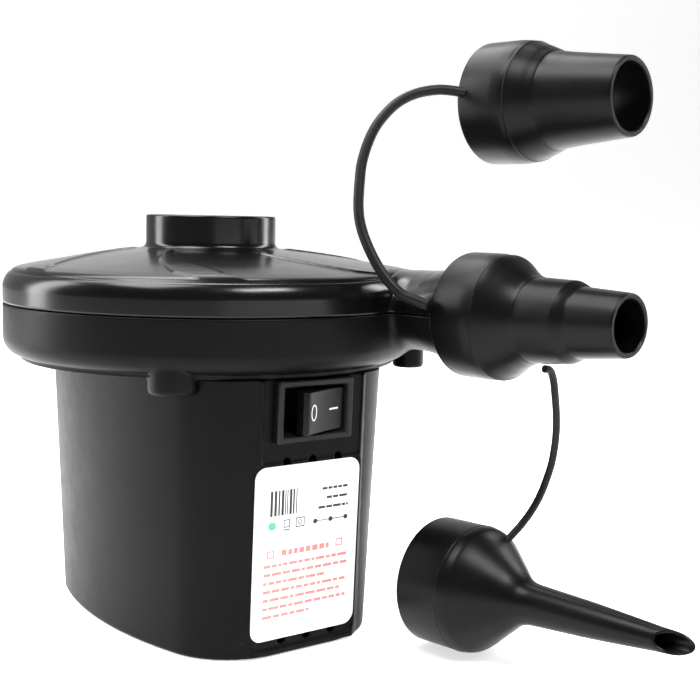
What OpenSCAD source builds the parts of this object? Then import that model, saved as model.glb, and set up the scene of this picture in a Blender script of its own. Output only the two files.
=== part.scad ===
// Electric air mattress pump: turbine volute on a boxy motor housing, with
// three push-on nozzles that hang on moulded tether straps.
// Frame: origin under the motor axis on the standing surface, +Z up,
// -Y is the front with the switch and the label, the spout is on the +X side.

/* [Motor housing] */
// Half width of the housing at its base (mid depth)
body_hw = 32.3; // [32:0.1:32.5]
// Distance from the axis to the front wall at the base
body_front = 46; // [45.8:0.1:46.3]
// Distance from the axis to the back wall at the base
body_back = 46.2; // [45.9:0.1:46.4]
// How far the side walls bow out at mid depth
body_bow = 9.6; // [9.3:0.1:9.8]
// Corner radius of the housing outline
body_corner = 20; // [19.8:0.1:20.2]
// Height of the housing under the volute
body_h = 68.4; // [67.8:0.1:68.4]
// Outward draft of the walls, per millimetre of height
body_draft = 0.04; // [0.02:0.005:0.04]
// Wall thickness of the mouldings
wall = 2.2; // [1.8:0.1:2.6]

/* [Volute] */
// Radius of the volute disc
disc_r = 54; // [53:0.1:55]
// Height of the seam between lower pan and lid
seam_z = 83; // [82.5:0.1:83.5]
// Height of the underside of the disc
pan_z = 69.6; // [69:0.1:70]
// Radius of the flange that sits on the housing
flange_r = 49.6; // [49:0.1:50.4]
// Height of the lid's shoulder
shoulder_z = 90.7; // [90:0.1:91.4]
// Height of the inlet collar's rim
collar_top = 106.1; // [104:0.1:108]
// Outer radius of the inlet collar
collar_r = 17.2; // [17:0.1:17.5]
// Bore radius of the inlet collar
inlet_r = 15.5; // [15.4:0.1:15.7]

/* [Outlet] */
// Sideways offset of the outlet from the motor axis
spout_x = 38.8; // [38:0.1:39.4]
// How far in front of the axis the outlet collar starts
spout_y = 61; // [60:0.1:62]
// Angle of the outlet away from straight ahead
spout_angle = 7; // [5:0.5:9]
// Outer radius of the outlet collar that the nozzles push onto
socket_pin_r = 13.7; // [13.6:0.05:13.75]
// Bore radius of the outlet duct
duct_r = 11.2; // [10.5:0.1:11.4]

/* [Impeller and motor] */
// Radius of the impeller
fan_r = 45; // [40:0.5:47]
// Number of impeller blades
fan_blades = 9; // [6:1:12]
// Radius of the motor can
motor_r = 17.9; // [16:0.1:18.4]
// Length of the motor can
motor_len = 50; // [46:1:52]
// Radius of the motor shaft
shaft_r = 1.5875; // [1.5:0.0125:1.6]

/* [Nozzles] */
// Outer radius of the nozzles' wide end
noz_r = 15.5; // [15.3:0.1:16]
// Bore radius of the nozzles' wide end
noz_socket_r = 13.75; // [13.72:0.01:13.8]
// Tip radius of the middle nozzle
med_tip_r = 7.3; // [6.5:0.1:8]
// Tip radius of the large nozzle
large_tip_r = 9.6; // [9:0.1:10.5]
// Tip radius of the small nozzle
small_tip_r = 2.6; // [2.4:0.1:3.2]
// Thickness of the upper tether strap
tether_up_d = 2.6; // [2:0.1:3]
// Thickness of the lower tether strap
tether_low_d = 1.9; // [1.6:0.1:2.4]

/* [Hidden] */
eps = 0.01;
tilt = atan(body_draft);            // lean of the front wall
zf = 60.4;                          // height of the switch centre
zl = 25.7;                          // height of the label centre

// --- outlines -----------------------------------------------------------
// Rounded outline with bowed sides, g = outward growth from the base outline
function arc_pts(cx, cy, r, a0, a1, n) =
    [for (i = [0:n]) [cx + r*cos(a0 + (a1 - a0)*i/n), cy + r*sin(a0 + (a1 - a0)*i/n)]];
// The side walls are shallow arcs, and each corner arc is tangent to its side and its end
side_r = (46*46 + body_bow*body_bow)/(2*body_bow);
function corner_x(x, f, r) = x - side_r + sqrt(pow(side_r - r, 2) - pow(f - r, 2));
function corner_a(f, r) = asin((f - r)/(side_r - r));
function outline(g, n = 8) =
    let (x = body_hw + g, r = body_corner + g*0.3, f = body_front + g, k = body_back + g,
         cf = corner_x(x, f, r), ck = corner_x(x, k, r), af = corner_a(f, r), ak = corner_a(k, r))
    concat(arc_pts(-cf, -(f - r), r, 180 + af, 270, n),
           arc_pts(cf, -(f - r), r, 270, 360 - af, n),
           [for (i = [1:5]) let (a = -af + (af + ak)*i/6) [x - side_r + side_r*cos(a), side_r*sin(a)]],
           arc_pts(ck, k - r, r, ak, 90, n),
           arc_pts(-ck, k - r, r, 90, 180 - ak, n),
           [for (i = [1:5]) let (a = ak - (af + ak)*i/6) [-(x - side_r + side_r*cos(a)), side_r*sin(a)]]);

module slab(g, z) translate([0, 0, z]) linear_extrude(eps) polygon(outline(g));

// Places children on the leaning front wall: local -Y is outward, local Z runs up it
module on_front(x, z) translate([x, -(body_front + body_draft*z), z]) rotate([tilt, 0, 0]) children();

// Places children on the outlet axis: local -Y is the way the air leaves
module on_spout() translate([spout_x, -spout_y, seam_z]) rotate([0, 0, spout_angle]) children();

module round_rect(w, h, r) {
    square([w - 2*r, h], center = true);
    square([w, h - 2*r], center = true);
    for (sx = [-1, 1], sy = [-1, 1]) translate([sx*(w/2 - r), sy*(h/2 - r)]) circle(r, $fn = 24);
}

module plate_front(w, h, d, r) // plate lying on the front wall, growing outward
    rotate([90, 0, 0]) linear_extrude(d) round_rect(w, h, r);

// --- motor housing --------------------------------------------------------
slot_x = [-6.2, 1.3, 8.8];
boss_xy = [[-30.7, -35.7], [-30.7, 35.7], [30.7, 35.7]];
post_xy = [[-22.5, -36.5], [22.5, -36.5], [-22.5, 36.5], [22.5, 36.5]];
cover_xy = [[-18, -28], [18, -28], [-18, 28], [18, 28]];

module body_block() hull() {
    slab(-0.8, 0);
    slab(0.03, 0.9);
    slab(body_draft*body_h, body_h - eps);
}

module body_shell() color([0.085, 0.085, 0.09]) difference() {
    union() {
        difference() {
            union() {
                body_block();
                // flat front panel with chamfered sides
                on_front(0.5, 34.2) hull() {
                    translate([0, -0.05, 0]) plate_front(29.4, 67.2, 0.02, 0.6);
                    translate([0, 3.2, 0]) plate_front(37.7, 67.2, 0.02, 0.6);
                }
            }
            hull() {
                slab(-wall, 2.5);
                slab(body_draft*body_h - wall, body_h + 1);
            }
        }
        // posts for the screws that hold the volute
        for (p = post_xy) translate([p[0], p[1], 50]) cylinder(r = 3.8, h = body_h - 50.2, $fn = 32);
        // posts for the base cover's screws
        for (p = cover_xy) translate([p[0], p[1], 6.2]) cylinder(r = 3.4, h = 8, $fn = 32);
        for (p = cover_xy) translate([p[0] + (p[0] > 0 ? 0 : -9.5), p[1] - 0.8, 6.2]) cube([9.5, 1.6, 8]);
    }
    // seat of the base cover
    translate([0, 0, -1]) linear_extrude(4) polygon(outline(-wall));
    // recessed front panel around the switch, and the wider field for the label
    on_front(0.7, 60.2) translate([0, 0.6, 0]) plate_front(28.6, 24, 4, 1);
    on_front(0, 25.2) translate([0, 0.6, 0]) plate_front(31.4, 46.4, 4, 3.2);
    // screw holes in the posts
    for (p = post_xy) translate([p[0], p[1], 53]) cylinder(r = 1.3, h = 20, $fn = 32);
    for (p = cover_xy) translate([p[0], p[1], 4]) cylinder(r = 1.3, h = 8, $fn = 32);
    // switch cut-out
    on_front(0.4, zf) translate([0, 5, 0]) plate_front(19.6, 12.2, 10, 0.6);
    // long cooling slots behind the label
    for (x = slot_x) on_front(x, zl) translate([0, 5, 0]) plate_front(2.2, 46.4, 10, 1.05);
    // back vents
    for (i = [-4:4]) translate([i*4.4, body_back + 5, 46]) rotate([90, 0, 0])
        linear_extrude(12) round_rect(2.2, 26, 1.05);
    // power inlet hole
    translate([0, body_back + 6, 12]) rotate([90, 0, 0]) cylinder(r = 5.6, h = 12, $fn = 48);
}

module base_cover() color([0.07, 0.07, 0.075]) difference() {
    union() {
        linear_extrude(2.4) polygon(outline(-wall - 0.1));
        // posts that hold the cover's screws
        for (p = cover_xy) translate([p[0], p[1], 2.3]) cylinder(r = 3.4, h = 3.8, $fn = 32);
    }
    for (p = cover_xy) translate([p[0], p[1], -1]) {
        cylinder(r = 1.5, h = 9, $fn = 32);
        cylinder(r = 3, h = 2.6, $fn = 32);
    }
}

// --- volute ---------------------------------------------------------------
module spout_section(hw, hh, y) translate([0, y, 0]) rotate([90, 0, 0])
    linear_extrude(eps) scale([hw/10, hh/10]) circle(10, $fn = 40);

module spout_solid() on_spout() {
    hull() {
        spout_section(14.0, 12.2, 0.6);
        spout_section(14.6, 10.6, 7.5);
    }
    hull() {
        spout_section(14.6, 10.6, 7.4);
        spout_section(14.8, 10.2, 18);
        spout_section(13.5, 9.4, 38);
    }
}

module duct_bore() on_spout() {
    translate([0, 42, 0]) rotate([90, 0, 0]) linear_extrude(41) round_rect(25, 16.4, 8);
    translate([0, 3, 0]) rotate([90, 0, 0]) cylinder(r = duct_r - 0.6, h = 4, $fn = 64);
}
module duct_cut() {
    duct_bore();
    // volute chamber
    translate([0, 0, pan_z + 2]) cylinder(r = disc_r - wall - 0.6, h = seam_z - pan_z - 1, $fn = 128);
}

pan_profile = concat(
    [[0, pan_z - 1.2], [flange_r - 0.4, pan_z - 1.2], [flange_r, pan_z - 0.8], [flange_r, pan_z - 0.1]],
    arc_pts(disc_r - 4.6, pan_z + 4.6, 4.6, -90, 0, 8),
    [[disc_r, seam_z - 0.45], [disc_r - 0.35, seam_z - 0.05], [0, seam_z - 0.05]]);

module volute_pan() color([0.09, 0.09, 0.095]) difference() {
    union() {
        rotate_extrude($fn = 160) polygon(pan_profile);
        intersection() {
            spout_solid();
            translate([0, -60, seam_z - 30.05]) cube([200, 200, 60], center = true);
        }
        // screw bosses under the flange and under the spout
        for (p = boss_xy) translate([p[0], p[1], 64.6]) rotate_extrude($fn = 48)
            polygon(concat([[0, 0]], arc_pts(4.65, 1.4, 1.4, -90, 0, 4), [[6.05, 6], [0, 6]]));
        translate([43.8, -31, 66.3]) cylinder(r = 4.2, h = 10, $fn = 48);
    }
    duct_cut();
    // hollow under the flange over the housing
    translate([0, 0, pan_z - 3]) cylinder(r = 30, h = 3, $fn = 96);
    // motor boss hole and motor screw holes
    translate([0, 0, pan_z - 4]) cylinder(r = 8, h = 8, $fn = 64);
    for (s = [-1, 1]) translate([s*12.5, 0, pan_z - 4]) cylinder(r = 1.6, h = 8, $fn = 32);
    // holes for the screws into the housing's posts
    for (p = post_xy) translate([p[0], p[1], 60]) cylinder(r = 1.5, h = 14, $fn = 32);
    // the bosses stop at the housing's walls
    translate([0, 0, 60]) linear_extrude(body_h - 60) polygon(outline(body_draft*body_h + 0.05));
}

// Outside of the lid: shoulder, groove, low dome, inlet collar
lid_outer = concat(
    [[disc_r - 0.35, seam_z + 0.05], [disc_r, seam_z + 0.45]],
    arc_pts(disc_r - 4.2, shoulder_z - 2.8, 4.2, 4, 86, 9),
    [[49, shoulder_z + 1.7], [47, shoulder_z + 2.15], [45, shoulder_z + 2.5], [43, shoulder_z + 2.9],
     [40, shoulder_z + 3.4], [36, shoulder_z + 4.1], [32, shoulder_z + 4.7], [28, shoulder_z + 5.3],
     [24, shoulder_z + 5.9], [20, shoulder_z + 6.5], [18.2, shoulder_z + 7.2],
     [collar_r, shoulder_z + 8.6], [collar_r, collar_top - 0.7],
     [collar_r - 0.3, collar_top - 0.15], [collar_r - 0.8, collar_top],
     [inlet_r + 0.4, collar_top - 0.1], [inlet_r, collar_top - 0.6]]);
lid_inner = [[inlet_r, shoulder_z + 4.6], [23, shoulder_z + 3.6], [30, shoulder_z + 2.2], [38, shoulder_z + 0.2],
     [43, shoulder_z - 2.2], [46, shoulder_z - 2.6], [disc_r - wall - 1.6, shoulder_z - 5], [disc_r - wall - 0.6, shoulder_z - 7],
     [disc_r - wall - 0.6, seam_z + 0.05]];

module volute_lid() color([0.12, 0.12, 0.125]) difference() {
    union() {
        rotate_extrude($fn = 160) polygon(concat(lid_outer, lid_inner));
        difference() {
            intersection() {
                spout_solid();
                translate([0, -60, seam_z + 30.05]) cube([200, 200, 60], center = true);
            }
            // keep the chamber and the collar open
            rotate_extrude($fn = 160) polygon(concat(lid_inner, [[0, seam_z], [0, shoulder_z + 4.6]]));
        }
    }
    duct_bore();
}

module seam_gasket() color([0.16, 0.16, 0.17]) difference() {
    translate([0, 0, seam_z - 1.4]) cylinder(r = disc_r - wall - 0.9, h = 2, $fn = 128);
    translate([0, 0, seam_z - 2]) cylinder(r = disc_r - wall - 2, h = 4, $fn = 128);
    // open where the duct leaves
    on_spout() translate([-14, -2, -6]) cube([28, 44, 12]);
}

module outlet_collar() color([0.1, 0.1, 0.105]) on_spout() difference() {
    rotate([90, 0, 0]) union() {
        translate([0, 0, -0.58]) cylinder(r = 14, h = 0.28, $fn = 96);
        translate([0, 0, -0.4]) cylinder(r = socket_pin_r, h = 10.6, $fn = 96);
    }
    translate([0, 5, 0]) rotate([90, 0, 0]) cylinder(r = duct_r - 0.6, h = 30, $fn = 64);
}

// The grille hangs under the collar's inner edge, below the bore
module inlet_grille() color([0.1, 0.1, 0.105]) translate([0, 0, shoulder_z + 2.2]) {
    difference() {
        cylinder(r = inlet_r + 2.4, h = 1.9, $fn = 96);
        translate([0, 0, -1]) cylinder(r = inlet_r + 0.2, h = 5, $fn = 96);
    }
    cylinder(r = 4, h = 1.9, $fn = 48);
    difference() {
        cylinder(r = 9.8, h = 1.8, $fn = 64);
        translate([0, 0, -1]) cylinder(r = 8.4, h = 5, $fn = 64);
    }
    for (a = [0:60:300]) rotate([0, 0, a]) translate([3, -0.7, 0]) cube([inlet_r - 1.6, 1.4, 1.8]);
}

// --- motor ----------------------------------------------------------------
motor_z0 = 14;                       // underside of the can
motor_z1 = motor_z0 + motor_len;     // top of the can

module motor_can() color([0.62, 0.63, 0.65]) difference() {
    union() {
        translate([0, 0, motor_z0]) cylinder(r = motor_r, h = motor_len, $fn = 96);
        translate([0, 0, motor_z1 - 1]) cylinder(r = 6.5, h = 4.6, $fn = 64);
    }
    translate([0, 0, motor_z0 - 1]) cylinder(r = motor_r - 1.2, h = motor_len - 0.4, $fn = 96);
    translate([0, 0, motor_z1 - 6]) cylinder(r = 3.5, h = 20, $fn = 48);
    for (s = [-1, 1]) translate([s*12.5, 0, motor_z1 - 4]) cylinder(r = 1.3, h = 8, $fn = 32);
}

module motor_endcap() color([0.75, 0.74, 0.7]) difference() {
    union() {
        translate([0, 0, motor_z0 - 2]) cylinder(r = motor_r, h = 1.99, $fn = 96);
        translate([0, 0, motor_z0 - 0.1]) cylinder(r = motor_r - 1.25, h = 3.6, $fn = 96);
        translate([0, 0, motor_z0 - 4]) cylinder(r = 5.5, h = 2.5, $fn = 48);
    }
    translate([0, 0, motor_z0 - 5]) cylinder(r = 3.5, h = 12, $fn = 48);
    translate([0, 0, motor_z0 - 0.2]) cylinder(r = 10, h = 6, $fn = 64);
}

module bush(z, h) translate([0, 0, z]) difference() {
    cylinder(r = 3.48, h = h, $fn = 48);
    translate([0, 0, -1]) cylinder(r = shaft_r + 0.03, h = h + 2, $fn = 48);
}
module motor_bush_top() color([0.72, 0.52, 0.28]) bush(motor_z1 - 1.6, 5);
module motor_bush_low() color([0.72, 0.52, 0.28]) bush(motor_z0 - 3.8, 3.5);

module magnet(a) rotate([0, 0, a]) translate([0, 0, motor_z0 + 8]) intersection() {
    difference() {
        cylinder(r = motor_r - 1.25, h = 34, $fn = 96);
        translate([0, 0, -1]) cylinder(r = 13.2, h = 40, $fn = 96);
    }
    translate([0, -12, -1]) cube([30, 24, 40]);
}
module magnet_left() color([0.2, 0.2, 0.21]) magnet(180);
module magnet_right() color([0.2, 0.2, 0.21]) magnet(0);

core_z = motor_z0 + 10;
core_h = 28;
module armature_core() color([0.5, 0.5, 0.52]) translate([0, 0, core_z]) difference() {
    union() {
        cylinder(r = 5.2, h = core_h, $fn = 48);
        for (a = [0:72:288]) rotate([0, 0, a]) {
            translate([4, -1.6, 0]) cube([7.4, 3.2, core_h]);
            intersection() {
                difference() {
                    cylinder(r = 12.6, h = core_h, $fn = 96);
                    translate([0, 0, -1]) cylinder(r = 10.8, h = core_h + 2, $fn = 96);
                }
                translate([5, -5.9, -1]) cube([12, 11.8, core_h + 2]);
            }
        }
    }
    translate([0, 0, -1]) cylinder(r = shaft_r, h = core_h + 2, $fn = 48);
}

module armature_coils() color([0.72, 0.36, 0.16]) translate([0, 0, core_z]) {
    for (a = [0:72:288]) rotate([0, 0, a]) for (s = [-1, 1])
        translate([5.6, s > 0 ? 1.65 : -3.95, -1.8]) cube([4.3, 2.3, core_h + 3.6]);
    for (z = [-3.4, core_h + 1]) translate([0, 0, z]) difference() {
        cylinder(r = 10.2, h = 2.4, $fn = 64);
        translate([0, 0, -1]) cylinder(r = 4.2, h = 6, $fn = 48);
    }
}

module commutator() color([0.78, 0.45, 0.22]) translate([0, 0, motor_z0 + 0.2]) difference() {
    union() {
        cylinder(r = 3.9, h = 6, $fn = 48);
        translate([0, 0, 5]) cylinder(r = 4.9, h = 1.2, $fn = 48);
    }
    translate([0, 0, -1]) cylinder(r = shaft_r, h = 12, $fn = 48);
    for (a = [0:72:288]) rotate([0, 0, a]) translate([3, -0.3, -1]) cube([4, 0.6, 5]);
}

module motor_shaft() color([0.75, 0.76, 0.78]) translate([0, 0, motor_z0 - 5.5])
    cylinder(r = shaft_r, h = 78.5 + 5.5 - motor_z0 + 5, $fn = 48);

module brush(s) translate([s*7.35, 0, motor_z0 + 2.4]) cube([6.3, 2.6, 2], center = true);
module brush_left() color([0.25, 0.25, 0.26]) brush(-1);
module brush_right() color([0.25, 0.25, 0.26]) brush(1);

module motor_sleeve() color([0.12, 0.12, 0.12]) translate([0, 0, 34]) difference() {
    cylinder(r = motor_r + 2, h = 14, $fn = 96);
    translate([0, 0, -1]) cylinder(r = motor_r + 0.01, h = 20, $fn = 96);
}

module damping_ring() color([0.3, 0.3, 0.31]) translate([0, 0, motor_z1 + 0.01]) difference() {
    cylinder(r = 15.5, h = 5.58, $fn = 96);
    translate([0, 0, -1]) cylinder(r = 8.5, h = 10, $fn = 64);
    for (s = [-1, 1]) translate([s*12.5, 0, -1]) cylinder(r = 1.6, h = 10, $fn = 32);
}

module motor_screws() color([0.7, 0.7, 0.72]) for (s = [-1, 1]) translate([s*12.5, 0, 0]) {
    translate([0, 0, motor_z1 - 2.5]) cylinder(r = 1.25, h = pan_z + 2.1 - motor_z1 + 2.5, $fn = 32);
    translate([0, 0, pan_z + 2.01]) cylinder(r = 2.4, h = 1.4, $fn = 32);
}

// --- impeller -------------------------------------------------------------
// One backward-curved blade outline: an arc of constant thickness
function blade_pt(t, o) = let (r = 15 + (fan_r - 16)*t, a = -42*t*(1.25 - 0.25*t))
    [(r)*cos(a) - o*sin(a), (r)*sin(a) + o*cos(a)];
blade_outline = concat([for (i = [0:8]) blade_pt(i/8, 0.6)], [for (i = [8:-1:0]) blade_pt(i/8, -0.6)]);

module impeller() color([0.82, 0.82, 0.8]) translate([0, 0, pan_z + 3.9]) difference() {
    union() {
        cylinder(r = fan_r, h = 1.4, $fn = 128);
        cylinder(r = 5.5, h = 9, $fn = 48);
        cylinder(r = 14, h = 2.6, $fn = 64);
        for (i = [0:fan_blades - 1]) rotate([0, 0, i*360/fan_blades])
            translate([0, 0, 1]) linear_extrude(9.4) polygon(blade_outline);
    }
    translate([0, 0, -1]) cylinder(r = shaft_r, h = 20, $fn = 48);
}

module impeller_nut() color([0.78, 0.72, 0.5]) translate([0, 0, pan_z + 12.91]) difference() {
    cylinder(r = 3.4, h = 2.4, $fn = 6);
    translate([0, 0, -1]) cylinder(r = shaft_r, h = 8, $fn = 48);
}

// --- electrics ------------------------------------------------------------
module circuit_board() color([0.1, 0.35, 0.18]) translate([0, 32, 30]) difference() {
    translate([-17, 0, -14]) cube([34, 1.6, 34]);
    for (s = [-1, 1], t = [-1, 1]) translate([s*14.5, 3, 3 + t*14.5]) rotate([90, 0, 0]) cylinder(r = 1.5, h = 6, $fn = 24);
}
module capacitor() color([0.2, 0.25, 0.5]) translate([8, 31.99, 36]) rotate([90, 0, 0]) cylinder(r = 5, h = 11, $fn = 48);
module choke_coil() color([0.7, 0.42, 0.2]) translate([-8, 31.98, 34]) rotate([90, 0, 0]) difference() {
    cylinder(r = 6.5, h = 6, $fn = 64);
    translate([0, 0, -1]) cylinder(r = 3, h = 8, $fn = 48);
}

sw_w = 21.8;
sw_h = 15.3;
pivot_d = 4.2;      // rocker pivot behind the bezel's face
bez_t = 2.1;        // bezel height over the panel
module switch_body() color([0.07, 0.07, 0.075]) on_front(0.4, zf) translate([0, 0.7, 0]) difference() {
    union() {
        plate_front(sw_w, sw_h, bez_t, 0.8);
        translate([0, 13, -0.1]) plate_front(19.4, 11.8, 13.2, 0.5);
    }
    translate([0, 6.2, -0.1]) plate_front(17.4, 10.7, 20, 0.3);
    // holes of the rocker's pivot pins
    translate([0, pivot_d - bez_t, -5.8]) cylinder(r = 0.85, h = 11.4, $fn = 32);
}

// The rocker turns about an upright axis behind the bezel; at rest its
// "on" end is pressed in and the other end stands out
module switch_rocker() color([0.06, 0.06, 0.065]) on_front(0.4, zf)
    translate([0, 0.7 - bez_t + pivot_d, 0]) rotate([0, 0, 19]) {
        translate([0, 0, -5.25]) linear_extrude(10.3) polygon(concat(
            [[-7.5, -4.4], [-7.1, -5.6]],
            [for (i = [-6:6]) [i*1.1, -5.65 + 0.45*(1 - pow(i/6, 2))]],
            [[7.1, -5.6], [7.5, -4.4], [6.2, -1.6], [2, 0.9], [0, 1.3], [-2, 0.9], [-6.2, -1.6]]));
        // pivot pins
        translate([0, 0, -5.7]) cylinder(r = 0.8, h = 11.2, $fn = 32);
    }

module switch_marks() color([0.85, 0.85, 0.83]) on_front(0.4, zf)
    translate([0, 0.7 - bez_t + pivot_d, 0]) rotate([0, 0, 19]) {
        // ring mark for off
        translate([-4.6, -5.30, 0]) rotate([90, 0, 0]) linear_extrude(0.28) difference() {
            scale([0.62, 1]) circle(2, $fn = 32);
            scale([0.46, 0.8]) circle(2, $fn = 32);
        }
        // bar mark for on
        translate([1.9, -5.2, -0.2]) rotate([0, 0, 2.2]) translate([0, 0, 0]) rotate([90, 0, 0])
            linear_extrude(0.28) square([3.2, 0.5]);
    }

module switch_terminals() color([0.8, 0.78, 0.7]) on_front(0.4, zf)
    for (s = [-1, 1]) translate([s*4 - 0.4, 13.7, -2.4]) cube([0.8, 6.4, 4.8]);

module power_inlet() color([0.1, 0.1, 0.1]) translate([0, body_back + 0.9, 12]) rotate([90, 0, 0]) difference() {
    union() {
        cylinder(r = 7, h = 1.4, $fn = 48);
        cylinder(r = 5.5, h = 12, $fn = 48);
    }
    translate([0, 0, -1]) cylinder(r = 3.1, h = 11, $fn = 48);
}

// Swept tube through a list of points, with n sides
function unit(v) = v/norm(v);
function tan_at(p, i) = unit(p[min(i + 1, len(p) - 1)] - p[max(i - 1, 0)]);
function perp(t, ref) = unit(cross(t, cross(ref, t)));
// Catmull-Rom point between p[i] and p[i+1]
function cr(p, i, t) = let (a = p[max(i - 1, 0)], b = p[i], c = p[i + 1], d = p[min(i + 2, len(p) - 1)])
    0.5*((2*b) + (c - a)*t + (2*a - 5*b + 4*c - d)*t*t + (3*b - a - 3*c + d)*t*t*t);
function smooth(p, m) = concat([for (i = [0:len(p) - 2], j = [0:m - 1]) cr(p, i, j/m)], [p[len(p) - 1]]);
module tube(p, r, ref, n = 8) {
    k = len(p);
    pts = [for (i = [0:k - 1]) let (t = tan_at(p, i), u = perp(t, ref), v = cross(t, u))
        for (j = [0:n - 1]) p[i] + r*(cos(360*j/n)*u + sin(360*j/n)*v)];
    faces = concat([[for (j = [0:n - 1]) j]],
        [for (i = [0:k - 2], j = [0:n - 1]) [i*n + j, (i + 1)*n + j, (i + 1)*n + (j + 1)%n, i*n + (j + 1)%n]],
        [[for (j = [n - 1:-1:0]) (k - 1)*n + j]]);
    polyhedron(points = pts, faces = faces, convexity = 6);
}

live_route = [[-3.6, -28.3, 60], [-8, -26, 52], [-20, -20, 40], [-23, -4, 22], [-16, 0, 11], [-9, 0, 10.4]];
return_route = [[4.4, -28.3, 60], [9, -26, 50], [21, -19, 32], [22, 8, 24], [15, 26, 22], [12, 31.5, 20]];
module wire_live() color([0.6, 0.05, 0.05]) tube(smooth(live_route, 4), 0.8, [0.3, 1, 0.2]);
module wire_return() color([0.05, 0.05, 0.05]) tube(smooth(return_route, 4), 0.8, [0.3, 0.2, 1]);

module pan_screws() color([0.65, 0.65, 0.67]) for (p = post_xy) translate([p[0], p[1], 0]) {
    translate([0, 0, 56]) cylinder(r = 1.28, h = pan_z + 2.1 - 56, $fn = 32);
    translate([0, 0, pan_z + 2.01]) cylinder(r = 2.6, h = 1.3, $fn = 32);
}
module base_screws() color([0.65, 0.65, 0.67]) for (p = cover_xy) translate([p[0], p[1], 0]) {
    translate([0, 0, 0.35]) cylinder(r = 2.6, h = 1.24, $fn = 32);
    translate([0, 0, 1.5]) cylinder(r = 1.28, h = 9, $fn = 32);
}

module rating_label() color([0.93, 0.93, 0.91]) on_front(0, zl) translate([0, 0.59, 0])
    plate_front(30.6, 43.1, 0.3, 3);

// --- nozzles --------------------------------------------------------------
// Revolved nozzle: o = outside points, i = inside points, as [station, radius]
module nozzle(o, i) rotate([90, 0, 0]) rotate_extrude($fn = 96)
    polygon(concat([for (p = o) [p[1], p[0]]], [for (p = i) [p[1], p[0]]]));

med_out = [[0, noz_r - 0.5], [0.5, noz_r], [10.4, noz_r], [12.2, noz_r - 0.5], [14, noz_r - 1.6], [18.6, noz_r - 4.1], [20.9, 10.4],
    [22, 10.25], [31.4, 9.75], [32.4, 9.5], [34, 8.4], [45.6, med_tip_r + 0.1], [46, med_tip_r - 0.2]];
med_in = [[46, med_tip_r - 1.2], [34, 6.9], [31, 8.1], [21.5, 8.7], [14, 12.4], [11, noz_socket_r], [0, noz_socket_r]];
module nozzle_medium() color([0.075, 0.075, 0.08]) on_spout() nozzle(med_out, med_in);

large_out = [[0, noz_r - 0.5], [0.5, noz_r], [10.6, noz_r], [12.4, noz_r - 0.35], [14.4, noz_r - 1.2], [18.2, 12.7], [19.4, 12.2],
    [20.6, 11.9], [40.3, large_tip_r + 0.1], [40.7, large_tip_r - 0.2]];
large_in = [[40.7, large_tip_r - 1.3], [20.4, 10.3], [14, 12.8], [11, noz_socket_r], [0, noz_socket_r]];
large_c = [56.9, -48.1, 136.5];
module nozzle_large() color([0.075, 0.075, 0.08]) translate(large_c) rotate([0, 0, 8.5]) nozzle(large_out, large_in);

small_out = [[0, noz_r - 0.6], [0.6, noz_r], [13.2, noz_r], [15, noz_r - 0.3], [16.4, noz_r - 1.3], [25.6, 6.7], [27.6, 5.5],
    [30, 4.95], [45, 4.2], [58, 3.3], [70.5, small_tip_r]];
small_in = [[70.5, small_tip_r - 0.8], [45, 3.2], [30, 3.9], [27.6, 4.4], [25, 5.6], [16, 12.9], [13.5, 13.4], [11, noz_socket_r], [0, noz_socket_r]];
small_c = [33.1, -58.4, 15.8];
small_az = 7.6;
small_el = 1;
module nozzle_small() color([0.075, 0.075, 0.08]) translate(small_c) rotate([0, 0, small_az]) rotate([-small_el, 0, 0])
    nozzle(small_out, small_in);

// --- tethers --------------------------------------------------------------
upper_route = [[22.2, -64, 86], [20.3, -61, 87.2], [18.5, -57.8, 88.6], [16.5, -54.4, 92.3], [15, -51, 97.5], [14.2, -48, 103.2], [14.3, -46.2, 108.5],
    [15.8, -44.5, 115.6], [17.2, -43.6, 120.5], [19.8, -43.2, 126.3], [22.8, -43.5, 130.8], [27, -44.6, 135], [31.5, -46.4, 137.5],
    [36.2, -48.5, 138.6], [39.2, -50.2, 138.6], [42.6, -52, 138.2]];
lower_route = [[42.2, -83.6, 71.7], [44.2, -83.6, 71.2], [46.2, -82.9, 68.6], [48, -81.9, 64.7], [49.5, -81.1, 60.3], [50.6, -80.3, 55.8],
    [51.2, -79.4, 51.4], [51.2, -78.6, 47.1], [50.5, -77.7, 42.8], [49.3, -76.9, 38.8], [47.4, -76.1, 35.1], [45, -75.2, 31.8], [42.4, -74.5, 29.2], [40.6, -74.1, 27.4]];
module tether_upper() color([0.07, 0.07, 0.075]) tube(smooth(upper_route, 2), tether_up_d/2, [0, 1, 0.1]);
module tether_lower() color([0.07, 0.07, 0.075]) tube(smooth(lower_route, 2), tether_low_d/2, [0.3, 1, 0.1]);

body_shell();
base_cover();
volute_pan();
volute_lid();
seam_gasket();
outlet_collar();
inlet_grille();
motor_can();
motor_endcap();
motor_bush_top();
motor_bush_low();
magnet_left();
magnet_right();
armature_core();
armature_coils();
commutator();
motor_shaft();
impeller();
impeller_nut();
brush_left();
brush_right();
motor_sleeve();
damping_ring();
motor_screws();
circuit_board();
capacitor();
choke_coil();
switch_body();
switch_rocker();
switch_marks();
switch_terminals();
power_inlet();
wire_live();
wire_return();
pan_screws();
base_screws();
rating_label();
nozzle_medium();
nozzle_large();
nozzle_small();
tether_upper();
tether_lower();
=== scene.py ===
import math
import bpy
import bmesh
import numpy as np
from mathutils import Matrix, Vector


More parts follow.
